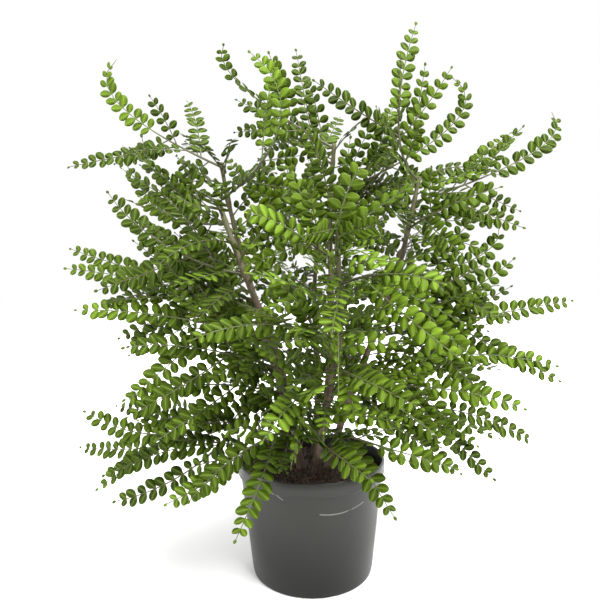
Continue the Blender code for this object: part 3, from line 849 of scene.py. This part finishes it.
class FrondTree:
    """Geometry Nodes that dress rachis lines with pairs of leaflets and give every line its round stalk."""

    def __init__(self, leaf: bpy.types.Material, stalk: bpy.types.Material) -> None:
        """Builds the tree.

        Args:
            leaf: The leaflets' material.
            stalk: The stalks' material.
        """
        self.tree = bpy.data.node_groups.new("frond_leaflets", "GeometryNodeTree")
        self.leaf = leaf
        self.stalk = stalk
        g = Graph(self.tree)
        face = self.tree.interface
        for name, kind in (("Lines", "NodeSocketGeometry"), ("Leaflet", "NodeSocketObject"),
                           ("Leaflet Length", "NodeSocketFloat"), ("Pair Spacing", "NodeSocketFloat"),
                           ("Seed", "NodeSocketInt"), ("Leaf Material", "NodeSocketMaterial"),
                           ("Stalk Material", "NodeSocketMaterial")):
            face.new_socket(name=name, in_out="INPUT", socket_type=kind)
        face.new_socket(name="Fronds", in_out="OUTPUT", socket_type="NodeSocketGeometry")
        start = g.add("NodeGroupInput")
        given = {s.name: Wire(g, s) for s in start.outputs if s.name}
        curves = g.node("GeometryNodeMeshToCurve", None, {"Mesh": given["Lines"]})
        beads = g.node("GeometryNodeResampleCurve", {"mode": "LENGTH"},
                       {"Curve": curves, "Length": given["Pair Spacing"]})
        share = g.node("GeometryNodeSplineParameter", None, None, "Factor")
        ahead = g.node("GeometryNodeInputTangent")
        upper = self._attribute(g, "facing", "FLOAT_VECTOR")
        size = self._attribute(g, "size", "FLOAT")
        across = g.vector("NORMALIZE", g.vector("CROSS_PRODUCT", upper, ahead))
        face_up = g.vector("CROSS_PRODUCT", ahead, across)
        taper = 1.0 - g.math("ABSOLUTE", (share - 0.42) / 0.66) ** 3.0
        parts = []
        for which in (1, -1, 0):
            seed = given["Seed"] + float(11 * which)
            jitter = self._random(g, -1.0, 1.0, seed)
            lift = self._random(g, -0.22, 0.30, seed + 3.0)
            grow = self._random(g, 0.88, 1.10, seed + 5.0)
            shade = self._random(g, -0.09, 0.09, seed + 7.0)
            if which:
                angle = 1.22 - share * 0.42 + jitter * 0.20
                heading = g.vector("ADD", g.scaled(ahead, g.math("COSINE", angle)),
                                   g.scaled(across, g.math("SINE", angle) * float(which)))
                keep = g.math("MULTIPLY", share > 0.10, share < 0.985)
            else:
                heading = g.vector("ADD", ahead, g.scaled(across, jitter * 0.10))
                keep = share > 0.995
            heading = g.vector("ADD", heading, g.scaled(face_up, lift))
            roll = self._random(g, -0.35, 0.35, seed + 9.0)
            second = g.vector("ADD", face_up, g.scaled(across, roll))
            turn = g.node("FunctionNodeAxesToRotation", {"primary_axis": "X", "secondary_axis": "Z"},
                          {0: heading, 1: second})
            pattern = g.node("GeometryNodeObjectInfo", None, {"Object": given["Leaflet"]}, "Geometry")
            scale = given["Leaflet Length"] * size * taper * grow
            leaves = g.node("GeometryNodeInstanceOnPoints", None, {
                "Points": beads, "Selection": g.math("MULTIPLY", keep, size > 0.01), "Instance": pattern,
                "Rotation": turn, "Scale": scale})
            tint = self._attribute(g, "tint", "FLOAT")
            settings = {"data_type": "FLOAT", "domain": "INSTANCE"}
            parts.append(g.node("GeometryNodeStoreNamedAttribute", settings,
                                {"Geometry": leaves, "Name": "tint", "Value": tint + shade}))
        leaves = g.add("GeometryNodeJoinGeometry")
        for part in parts:
            self.tree.links.new(part.socket, leaves.inputs[0])
        real = g.node("GeometryNodeRealizeInstances", None, {"Geometry": Wire(g, leaves.outputs[0])})
        dressed = g.node("GeometryNodeSetMaterial", None,
                         {"Geometry": real, "Material": given["Leaf Material"]})
        girth = self._attribute(g, "girth", "FLOAT")
        ring = g.node("GeometryNodeCurvePrimitiveCircle", None, {"Resolution": 6, "Radius": 1.0})
        tube = g.node("GeometryNodeCurveToMesh", None,
                      {"Curve": curves, "Profile Curve": ring, "Scale": girth, "Fill Caps": True})
        tube = g.node("GeometryNodeSetMaterial", None,
                      {"Geometry": tube, "Material": given["Stalk Material"]})
        whole = g.add("GeometryNodeJoinGeometry")
        for part in (dressed, tube):
            self.tree.links.new(part.socket, whole.inputs[0])
        g.add("NodeGroupOutput", None, {0: Wire(g, whole.outputs[0])})

    @staticmethod
    def _attribute(g: Graph, name: str, kind: str) -> Wire:
        """A named attribute's value."""
        return g.node("GeometryNodeInputNamedAttribute", {"data_type": kind}, {"Name": name})

    @staticmethod
    def _random(g: Graph, low: float, high: float, seed: Wire | int) -> Wire:
        """A random number for each point."""
        return g.node("FunctionNodeRandomValue", {"data_type": "FLOAT"}, {2: low, 3: high, "Seed": seed}, 1)

    def dress(self, obj: bpy.types.Object, leaflet: bpy.types.Object, length: float, spacing: float,
              seed: int) -> None:
        """Runs the tree on an object and keeps the plain mesh.

        Args:
            obj: A mesh of lines with facing, size, girth and tint on its points.
            leaflet: The pattern.
            length: Full leaflet length in metres.
            spacing: Distance between pairs in metres.
            seed: For the leaflets' small differences.
        """
        values = {"Leaflet": leaflet, "Leaflet Length": length, "Pair Spacing": spacing, "Seed": seed,
                  "Leaf Material": self.leaf, "Stalk Material": self.stalk}
        run_nodes(obj, self.tree, values)


def lines_mesh(name: str, lines: Iterable[Rachis]) -> bpy.types.Mesh:
    """Lines as a mesh of edges.

    Args:
        name: The mesh's name.
        lines: For each line its points, upper face, leaflet size, girth at foot and tip, and tint.

    Returns:
        The mesh, with facing, size, girth and tint on its points.
    """
    points: list[Vector] = []
    edges: list[tuple[int, int]] = []
    facing: list[float] = []
    size: list[float] = []
    girth: list[float] = []
    tint: list[float] = []
    for line, face, leaf, foot, tip, shade in lines:
        base = len(points)
        points += line
        edges += [(base + i, base + i + 1) for i in range(len(line) - 1)]
        for i in range(len(line)):
            facing += list(face)
            size.append(leaf)
            girth.append(foot + (tip - foot) * i / (len(line) - 1))
            tint.append(shade)
    mesh = bpy.data.meshes.new(name)
    mesh.from_pydata([p[:] for p in points], edges, [])
    mesh.attributes.new("facing", "FLOAT_VECTOR", "POINT").data.foreach_set("vector", facing)
    for key, values in (("size", size), ("girth", girth), ("tint", tint)):
        mesh.attributes.new(key, "FLOAT", "POINT").data.foreach_set("value", values)
    return mesh


@dataclass
class Foliage:
    """All leafy sprays: CAD-placed fronds plus small ones between them."""

    growth: Growth
    leaf: LeafFinish = LeafFinish()
    stalk: StalkFinish = StalkFinish()
    leaflet_length: float = 0.0124
    pair_spacing: float = 0.0086
    extra_seed: int = 77
    extra_gap: float = 0.0125
    stem_gap: float = 0.0085
    # Painted light: fronds near this spot at the front right of the crown get a lighter green, standing in
    # for the key light.
    painted_light_centre: tuple[float, float, float] = (0.075, -0.15, 0.26)
    painted_light_radius: float = 0.13

    def tint_at(self, point: Vector, rng: random.Random) -> float:
        """How light a frond's green is, by where it grows: painted light that makes fronds near a spot at the
        front right lighter, lighter young fronds at the top, and a random spread.
        """
        far = (point - Vector(self.painted_light_centre)).length / self.painted_light_radius
        young = 0.12 if point.z > 0.50 else 0.0
        return 0.34 + young + 0.42 * math.exp(-far * far) + rng.uniform(-0.20, 0.20)

    def extra_fronds(self, spray: Spray, rng: random.Random) -> list[tuple[list[Vector], Vector]]:
        """Small fronds between the main ones on a twig.

        Args:
            spray: The spray that they grow on.
            rng: Their chance.

        Returns:
            Lines with their upper faces.
        """
        whole = length_of(spray.path)
        twig = whole * spray.cut
        face = spray.fronds[0][1]
        found = []
        reach, which = 0.012, 1
        while reach < twig:
            chance = (math.radians(rng.uniform(-12, 10)), rng.uniform(-0.05, 0.22), rng.uniform(0.42, 0.72),
                      math.radians(rng.choice((-1, 1)) * rng.uniform(35, 80)))
            line, turned = self.growth.side_path(spray.path, reach, face, which, 0, chance)
            if min(p.z for p in line) > 0.112:
                found.append((line, turned))
            reach += rng.uniform(self.extra_gap * 0.8, self.extra_gap * 1.2)
            which = -which
        return found

    def stem_fronds(self, stem: StemPlan, rng: random.Random) -> list[tuple[list[Vector], Vector]]:
        """Short fronds that grow straight from a woody stem and fill the heart of the plant.

        Args:
            stem: The stem.
            rng: Their chance.

        Returns:
            Lines with their upper faces.
        """
        spine = stem.line(self.growth.soil_top)
        whole = length_of(spine)
        found = []
        reach = 0.055
        turn = rng.uniform(0, 6.28)
        while reach < whole:
            root, ahead = along(spine, reach / whole)
            turn += math.radians(137.5)
            around = Vector((math.cos(turn), math.sin(turn), 0))
            if around.y > 0.3 and root.y < 0.03:
                around.y = -around.y
            outward = Vector((root.x, root.y, 0)).normalized() * 0.4
            out = (around + outward + UP * rng.uniform(0.25, 0.9)).normalized()
            length = self.growth.frond_length * rng.uniform(0.55, 0.85)
            droop = rng.uniform(0.15, 0.55)
            radius = (stem.foot_mm + (stem.top_mm - stem.foot_mm) * reach / whole) * MM
            start = root + (out - ahead * out.dot(ahead)).normalized() * radius * 0.8
            line = [start + (out * u - UP * droop * u * u) * length for u in (i / 8 for i in range(9))]
            if min(p.z for p in line) > 0.118:
                face = (FRONT if line[-1].y < 0.04 else around) * 0.75 + UP * 0.65
                found.append((line, face))
            reach += rng.uniform(self.stem_gap * 0.8, self.stem_gap * 1.2)
        return found

    def build(self) -> None:
        """Builds every spray and puts it in its solid's place."""
        tree = FrondTree(self.leaf.make(), self.stalk.make())
        pattern = Leaflet().build()
        rng = random.Random(self.growth.seed)
        chance = random.Random(self.extra_seed)
        leaf_faces = 0
        for number, plan in enumerate(SPRAYS):
            node = f"spray_{plan.name}"
            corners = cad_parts[node].data.vertices
            solid = KDTree(len(corners))
            for i, vertex in enumerate(corners):
                solid.insert(vertex.co, i)
            solid.balance()
            spray = self.growth.spray(plan, rng, solid)
            fits = [f[2] for f in spray.fronds]
            lines = []
            twig_points = [along(spray.path, (spray.cut + 0.01) * i / 10)[0] for i in range(11)]
            twig_points[0] += (twig_points[0] - twig_points[1]).normalized() * 0.0012
            lines.append((twig_points, UP, 0.0, 0.00150, 0.00095, 0.25))
            for line, face, _ in spray.fronds:
                tint = self.tint_at(line[-1], chance)
                lines.append((line, face, 1.0, 0.00085, 0.00035, tint))
            for line, face in self.extra_fronds(spray, chance):
                tint = self.tint_at(line[-1], chance)
                lines.append((line, face, 0.88, 0.0007, 0.0003, tint))
            obj = object_of(f"leafy_{plan.name}", lines_mesh(f"leafy_{plan.name}", lines))
            tree.dress(obj, pattern, self.leaflet_length, self.pair_spacing, number)
            leaf_faces += faces_with(obj, tree.leaf)
            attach(obj, "root")
            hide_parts(node)
            if min(fits) < 6:
                LOG.info("%s: fits %s", plan.name, fits)
        for number, stem in enumerate(STEMS):
            lines = []
            for line, face in self.stem_fronds(stem, chance):
                lines.append((line, face, 0.92, 0.0008, 0.0003, self.tint_at(line[-1], chance)))
            obj = object_of(f"leafy_stem_{stem.name}", lines_mesh(f"leafy_stem_{stem.name}", lines))
            tree.dress(obj, pattern, self.leaflet_length, self.pair_spacing, 100 + number)
            leaf_faces += faces_with(obj, tree.leaf)
            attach(obj, "root")
        LOG.info("sprays: %d, leaflets: %d", len(SPRAYS), leaf_faces // len(pattern.data.polygons))
        bpy.data.objects.remove(pattern)


@dataclass
class Stems:
    """The woody stems, with bark, swellings where twigs leave, and a slight flare at the soil."""

    growth: Growth
    finish: BarkFinish = BarkFinish()
    sides: int = 14
    seed: int = 5

    def build(self) -> None:
        """Builds every stem and puts it in its solid's place."""
        bark = self.finish.make()
        rng = random.Random(self.seed)
        for plan in STEMS:
            line = plan.line(self.growth.soil_top)
            obj = self.tube(plan, line, rng)
            obj.data.materials.append(bark)
            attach(obj, "root")
            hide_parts(f"stem_{plan.name}")
            LOG.info("stem %s: %.0f mm long", plan.name, length_of(line) * 1000)

    def tube(self, plan: StemPlan, line: list[Vector], rng: random.Random) -> bpy.types.Object:
        """One stem's skin.

        Args:
            plan: The stem.
            line: Its centre line.
            rng: For its unevenness.

        Returns:
            The object, with a tint attribute that rises towards the green top.
        """
        count = max(24, int(length_of(line) / 0.004))
        knots = [s.share for s in SPRAYS if s.stem == plan.name] + [rng.uniform(0.1, 0.9) for _ in range(4)]
        bm = bmesh.new()
        tint = bm.verts.layers.float.new("tint")
        rings = []
        side = Vector((1, 0, 0))
        phases = [rng.uniform(0, 6.28) for _ in range(6)]
        for i in range(count + 1):
            share = i / count
            point, ahead = along(line, share)
            side = (side - ahead * side.dot(ahead)).normalized()
            other = ahead.cross(side)
            radius = (plan.foot_mm + (plan.top_mm - plan.foot_mm) * share) * MM
            swell = sum(0.28 * math.exp(-((share - k) * count * 0.9) ** 2) for k in knots)
            flare = 0.35 * math.exp(-share * count / 2.2)
            ring = []
            for j in range(self.sides):
                turn = 2 * math.pi * j / self.sides
                wave = (0.05 * math.sin(3 * turn + phases[0] + share * 9)
                        + 0.04 * math.sin(5 * turn + phases[1] - share * 23)
                        + 0.05 * math.sin(share * count * 0.55 + phases[2] + turn))
                r = radius * (1 + wave + swell + flare)
                vert = bm.verts.new(point + (side * math.cos(turn) + other * math.sin(turn)) * r)
                vert[tint] = share ** 1.6
                ring.append(vert)
            rings.append(ring)
        for low, high in zip(rings, rings[1:]):
            for j in range(self.sides):
                k = (j + 1) % self.sides
                bm.faces.new((low[j], low[k], high[k], high[j])).smooth = True
        bm.faces.new(rings[0][::-1])
        bm.faces.new(rings[-1])
        bmesh.ops.recalc_face_normals(bm, faces=bm.faces)
        return object_from(bm, f"bark_{plan.name}")


@dataclass
class Soil:
    """Coir potting mix: an uneven bed with crumbs and fibres scattered on it."""

    top: float = 0.102
    radius: float = 0.0695
    finish: CoirFinish = CoirFinish()
    crumbs: int = 2600
    crumb_size: float = 0.0016
    seed: int = 3

    def build(self) -> None:
        """Builds the bed and its crumbs in the soil's place."""
        material = self.finish.make()
        bed = self.bed()
        bed.data.materials.append(material)
        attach(bed, "root")
        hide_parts("soil")
        crumbs = self.scatter(bed, material)
        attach(crumbs, "root")
        LOG.info("soil: %d faces of crumbs", len(crumbs.data.polygons))

    def height(self, x: float, y: float) -> float:
        """The bed's height at a place."""
        wave = (math.sin(x * 160 + 1.3) * math.cos(y * 140 - 0.4) * 0.0009
                + math.sin(x * 330 - y * 270) * 0.0005)
        edge = max(0.0, math.hypot(x, y) - 0.045) / 0.025
        return self.top - 0.0012 * edge * edge + wave

    def bed(self) -> bpy.types.Object:
        """The bed, closed by its side and bottom."""
        bm = bmesh.new()
        rings = 18
        sides = 72
        centre = bm.verts.new((0, 0, self.height(0, 0)))
        rows = []
        for i in range(1, rings + 1):
            r = self.radius * i / rings
            row = []
            for j in range(sides):
                turn = 2 * math.pi * j / sides
                x, y = r * math.cos(turn), r * math.sin(turn)
                row.append(bm.verts.new((x, y, self.height(x, y))))
            rows.append(row)
        low = []
        for j in range(sides):
            turn = 2 * math.pi * j / sides
            low.append(bm.verts.new((0.058 * math.cos(turn), 0.058 * math.sin(turn), 0.0050)))
        rows.append(low)
        for j in range(sides):
            k = (j + 1) % sides
            bm.faces.new((centre, rows[0][j], rows[0][k])).smooth = True
            for inner, outer in zip(rows, rows[1:]):
                bm.faces.new((inner[j], outer[j], outer[k], inner[k])).smooth = True
        bm.faces.new(low[::-1])
        tint = bm.verts.layers.float.new("tint")
        for vert in bm.verts:
            vert[tint] = 0.12
        bmesh.ops.recalc_face_normals(bm, faces=bm.faces)
        return object_from(bm, "soil_bed")

    def scatter(self, bed: bpy.types.Object, material: bpy.types.Material) -> bpy.types.Object:
        """Crumbs and short fibres spread over the bed by Geometry Nodes.

        Args:
            bed: The bed that they lie on.
            material: Their material.

        Returns:
            One plain object of all crumbs.
        """
        tree = bpy.data.node_groups.new("coir_crumbs", "GeometryNodeTree")
        g = Graph(tree)
        for name, kind in (("Bed", "NodeSocketGeometry"), ("Density", "NodeSocketFloat"),
                           ("Crumb Size", "NodeSocketFloat"), ("Seed", "NodeSocketInt"),
                           ("Material", "NodeSocketMaterial")):
            tree.interface.new_socket(name=name, in_out="INPUT", socket_type=kind)
        tree.interface.new_socket(name="Crumbs", in_out="OUTPUT", socket_type="NodeSocketGeometry")
        given = {s.name: Wire(g, s) for s in g.add("NodeGroupInput").outputs if s.name}
        normal = g.node("GeometryNodeInputNormal")
        level = g.node("ShaderNodeSeparateXYZ", None, {0: normal}, 2) > 0.5
        points = g.add("GeometryNodeDistributePointsOnFaces", {"distribute_method": "RANDOM"},
                       {"Mesh": given["Bed"], "Selection": level, "Density": given["Density"],
                        "Seed": given["Seed"]})
        bit = g.node("GeometryNodeMeshIcoSphere", None, {"Radius": 1.0, "Subdivisions": 1})
        turn = g.node("FunctionNodeRandomValue", {"data_type": "FLOAT_VECTOR"},
                      {0: (0.0, 0.0, 0.0), 1: (6.28, 6.28, 6.28), "Seed": 4}, 0)
        shape = g.node("FunctionNodeRandomValue", {"data_type": "FLOAT_VECTOR"},
                       {0: (0.35, 0.25, 0.2), 1: (1.6, 0.9, 0.6), "Seed": 9}, 0)
        crumbs = g.node("GeometryNodeInstanceOnPoints", None, {
            "Points": Wire(g, points.outputs["Points"]), "Instance": bit, "Rotation": turn,
            "Scale": g.scaled(shape, given["Crumb Size"])})
        hue = g.node("FunctionNodeRandomValue", {"data_type": "FLOAT"}, {2: 0.0, 3: 1.0, "Seed": 12}, 1)
        tinted = g.node("GeometryNodeStoreNamedAttribute", {"data_type": "FLOAT", "domain": "INSTANCE"},
                        {"Geometry": crumbs, "Name": "tint", "Value": hue ** 1.8})
        real = g.node("GeometryNodeRealizeInstances", None, {"Geometry": tinted})
        done = g.node("GeometryNodeSetMaterial", None, {"Geometry": real, "Material": given["Material"]})
        g.add("NodeGroupOutput", None, {0: done})
        obj = object_of("soil_crumbs", bed.data.copy())
        values = {"Density": self.crumbs / (math.pi * self.radius ** 2), "Crumb Size": self.crumb_size,
                  "Seed": self.seed, "Material": material}
        run_nodes(obj, tree, values)
        return obj


@dataclass
class Pot:
    """The nursery pot: a turned shell with a rounded rim band, foot ring and notches."""

    height: float = 0.114
    base_radius: float = 0.061
    top_radius: float = 0.0722
    rim_radius: float = 0.075
    rim_depth: float = 0.013
    wall: float = 0.0018
    floor: float = 0.0022
    step: float = 0.0015
    sides: int = 144
    drain_radius: float = 0.0045
    drain_ring: float = 0.046
    drains: int = 6
    notch: tuple[float, float, float] = (0.014, 0.007, 0.0022)
    notch_turn: float = math.radians(-72)
    notches: int = 4
    finish: PotFinish = PotFinish()

    def profile(self) -> list[tuple[float, float]]:
        """The shell's section, from the middle of the inner floor, up, over the rim and down to the pad."""
        under = self.height - self.rim_depth
        foot, rim, top = self.base_radius, self.rim_radius, self.top_radius
        lip = [(rim - 0.0012 - 0.0012 * math.cos(a), self.height - 0.0012 + 0.0012 * math.sin(a))
               for a in (math.radians(d) for d in (20, 55, 90, 125, 160))]
        shoulder = [(rim - 0.0012 + 0.0012 * math.cos(a), under + 0.0012 - 0.0012 * math.sin(a))
                    for a in (math.radians(d) for d in (0, 30, 60, 90))]
        heel = [(foot - 0.0016 + 0.0016 * math.cos(a), 0.0016 - 0.0016 * math.sin(a))
                for a in (math.radians(d) for d in (0, 30, 60, 90))]
        return [
            (0.0, self.step + self.floor),
            (foot - 0.0045, self.step + self.floor),
            (foot - 0.0018, self.step + self.floor + 0.0012),
            (foot - 0.0010, self.step + self.floor + 0.004),
            (top - self.wall, under - 0.002),
            (rim - 0.0036, under + 0.002),
            (rim - 0.0030, self.height - 0.0016),
            *lip,
            *shoulder,
            (top + 0.0002, under - 0.0001),
            (top - 0.0001, under - 0.0016),
            (top + (foot + 0.0009 - top) * 0.5, under + (0.006 - under) * 0.5),
            (foot + 0.0009, 0.006),
            *heel,
            (foot - 0.0075, 0.0),
            (foot - 0.0085, self.step),
            (0.0165, self.step),
            (0.0155, 0.0),
            (0.0, 0.0),
        ]

    def build(self) -> None:
        """Builds the pot in its solid's place."""
        bm = bmesh.new()
        verts = [bm.verts.new((r, 0, z)) for r, z in self.profile()]
        for a, b in zip(verts, verts[1:]):
            bm.edges.new((a, b))
        pot = object_from(bm, "pot_shell")
        screw = pot.modifiers.new("turn", "SCREW")
        screw.steps = screw.render_steps = self.sides
        screw.use_merge_vertices = True
        screw.merge_threshold = 0.00001
        plain_mesh(pot)
        bm = bmesh.new()
        bm.from_mesh(pot.data)
        bmesh.ops.recalc_face_normals(bm, faces=bm.faces)
        bm.to_mesh(pot.data)
        bm.free()
        cutters = self.cutters()
        for cutter in cutters:
            cut = pot.modifiers.new("cut", "BOOLEAN")
            cut.operation = "DIFFERENCE"
            cut.object = cutter
        plain_mesh(pot)
        for cutter in cutters:
            bpy.data.objects.remove(cutter)
        pot.data.shade_smooth()
        pot.data.set_sharp_from_angle(angle=math.radians(40))
        pot.data.materials.clear()
        pot.data.materials.append(self.finish.make())
        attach(pot, "root")
        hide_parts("pot")
        LOG.info("pot: %d faces", len(pot.data.polygons))

    def cutters(self) -> list[bpy.types.Object]:
        """Cutters for the drain holes and foot notches."""
        made = []
        for i in range(self.drains):
            turn = 2 * math.pi * (i + 0.5) / self.drains
            bm = bmesh.new()
            bmesh.ops.create_cone(bm, cap_ends=True, segments=24, radius1=self.drain_radius,
                                  radius2=self.drain_radius, depth=0.02)
            centre = (self.drain_ring * math.cos(turn), self.drain_ring * math.sin(turn), 0.002)
            bmesh.ops.translate(bm, vec=centre, verts=bm.verts)
            made.append(object_from(bm, "cutter"))
        for i in range(self.notches):
            turn = self.notch_turn + 2 * math.pi * i / self.notches
            bm = bmesh.new()
            bmesh.ops.create_cube(bm, size=1.0)
            bmesh.ops.scale(bm, vec=self.notch, verts=bm.verts)
            bmesh.ops.rotate(bm, cent=(0, 0, 0), matrix=Matrix.Rotation(turn, 3, "Z"), verts=bm.verts)
            reach = self.base_radius - 0.003
            bmesh.ops.translate(bm, vec=(reach * math.cos(turn), reach * math.sin(turn), 0), verts=bm.verts)
            made.append(object_from(bm, "cutter"))
        return made


@dataclass
class Studio:
    """Floor, soft lights and camera."""

    camera_place: tuple[float, float, float] = (-0.009, -0.530, 0.299)
    tilt: float = 0.045
    roll: float = -0.015
    lens: float = 31.2
    finish: FloorFinish = FloorFinish()

    def build(self) -> None:
        """Sets the stage."""
        bm = bmesh.new()
        bmesh.ops.create_grid(bm, x_segments=1, y_segments=1, size=6.0)
        floor = object_from(bm, "studio_floor")
        floor.location.z = -0.0002
        floor.data.materials.append(self.finish.make())
        self.light("key_light", (0.66, -0.90, 1.55), 0.75, 66.0)
        self.light("left_light", (-1.30, -0.55, 0.60), 0.70, 11.0)
        self.light("rear_light", (0.30, 1.60, 1.10), 1.20, 14.0)
        self.light("top_light", (0.10, -0.15, 1.8), 1.2, 30.0)
        world = bpy.data.worlds.new("studio_world")
        bpy.context.scene.world = world
        world.use_nodes = True
        back = world.node_tree.nodes["Background"]
        back.inputs[0].default_value = (1.0, 1.0, 1.0, 1.0)
        back.inputs[1].default_value = 1.0
        camera = bpy.data.cameras.new("camera")
        camera.lens = self.lens
        camera.sensor_width = 36.0
        camera.clip_start = 0.01
        viewer = bpy.data.objects.new("camera", camera)
        bpy.context.scene.collection.objects.link(viewer)
        turn = Matrix.Rotation(math.pi / 2 - self.tilt, 4, "X") @ Matrix.Rotation(self.roll, 4, "Z")
        viewer.matrix_world = Matrix.Translation(self.camera_place) @ turn
        bpy.context.scene.camera = viewer
        bpy.context.scene.view_settings.view_transform = "Standard"
        LOG.info("studio ready")

    def light(self, name: str, place: tuple[float, float, float], size: float, watts: float) -> None:
        """A soft square light that points at the plant."""
        data = bpy.data.lights.new(name, "AREA")
        data.size = size
        data.energy = watts
        lamp = bpy.data.objects.new(name, data)
        bpy.context.scene.collection.objects.link(lamp)
        aim = Vector((0, 0, 0.25)) - Vector(place)
        lamp.rotation_euler = aim.to_track_quat("-Z", "Y").to_euler()
        lamp.location = place


def main() -> None:
    """Builds the fern in order and reports each piece."""
    growth = Growth()
    Pot().build()
    Soil().build()
    Stems(growth).build()
    Foliage(growth).build()
    Studio().build()


if __name__ == "__main__":
    main()
